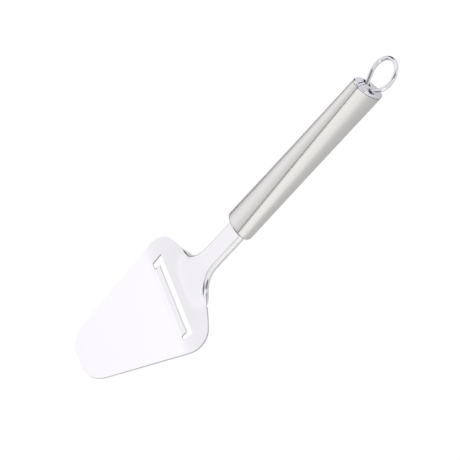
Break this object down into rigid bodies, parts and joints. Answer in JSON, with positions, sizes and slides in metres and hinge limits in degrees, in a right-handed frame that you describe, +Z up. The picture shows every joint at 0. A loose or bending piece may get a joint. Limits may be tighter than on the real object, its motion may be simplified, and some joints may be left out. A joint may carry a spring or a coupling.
{
  "type": "cheese slicer",
  "caption": "Cheese slicer: a flared steel blade with a slot and a dropped cutting lip, a raised channel neck, a hollow oval handle and a wire hanging loop at its end.",
  "frame": {"origin": "on the table, below the middle of the slicer's bounding box", "axes": "+X along the slicer from the blade's tip to the hanging loop, +Y across the blade to its left, +Z up from the table on which it rests on its cutting lip and its handle's loop end"},
  "size_m": [0.2512, 0.088, 0.0249],
  "materials": {
    "polished_steel": "polished",
    "brushed_steel": "fine satin brushing around the handle",
    "mirror_steel": "mirror polished",
    "nylon": "moulded"
  },
  "bodies": {
    "slicer": {"blade": "polished_steel", "handle_tube": "brushed_steel", "tang_core": "nylon", "end_cap": "mirror_steel"},
    "loop": {"hanging_loop": "mirror_steel"}
  },
  "joints": [
    {"name": "loop_swing", "type": "hinge", "parent": "slicer", "child": "loop", "pos_m": [0.10185, 0, 0.01473], "axis": [0, 1, 0], "range_deg": [-17, 7]}
  ]
}
